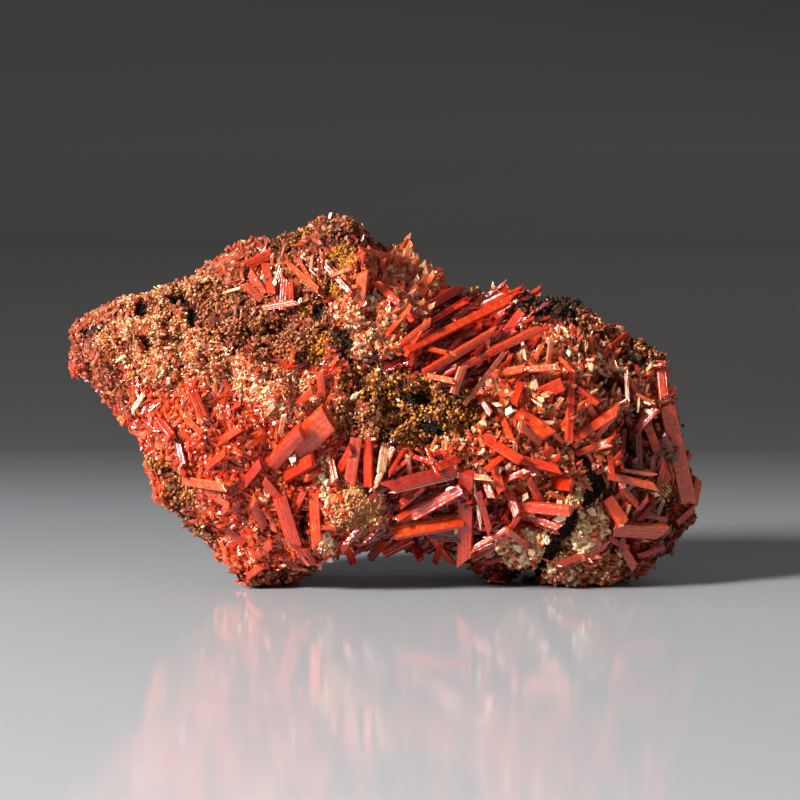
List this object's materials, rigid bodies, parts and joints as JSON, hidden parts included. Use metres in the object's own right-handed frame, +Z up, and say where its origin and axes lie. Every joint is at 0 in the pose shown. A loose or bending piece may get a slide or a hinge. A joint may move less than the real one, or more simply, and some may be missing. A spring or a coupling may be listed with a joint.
{
  "type": "crocoite specimen",
  "caption": "Crocoite hand specimen: orange-red blades and granular red crystals grown over a brown porous gossan rock, standing on its cut feet",
  "frame": {"origin": "under the middle of the specimen's bounding box, on the surface it stands on", "axes": "+X along its length, to the right as its crystal face is seen; -Y towards the viewer of that face; +Z up"},
  "size_m": [0.099, 0.049, 0.0574],
  "materials": {
    "gossan_rock": "matt, porous iron-oxide rock, ochre to dark brown with black manganese stains",
    "crocoite_crystal": "glossy, translucent orange-red prisms with striated faces"
  },
  "bodies": {
    "root": {"gossan_matrix": "gossan_rock", "crystal_crust_left": "crocoite_crystal", "crystal_cluster_ridge": "crocoite_crystal", "crystal_cluster_summit": "crocoite_crystal", "blade_spray_upper": "crocoite_crystal", "crystal_tangle_right": "crocoite_crystal", "blade_fan_lower": "crocoite_crystal", "blade_group_right_end": "crocoite_crystal", "crystal_crust_back": "crocoite_crystal", "blade_spray_back": "crocoite_crystal"}
  },
  "joints": []
}
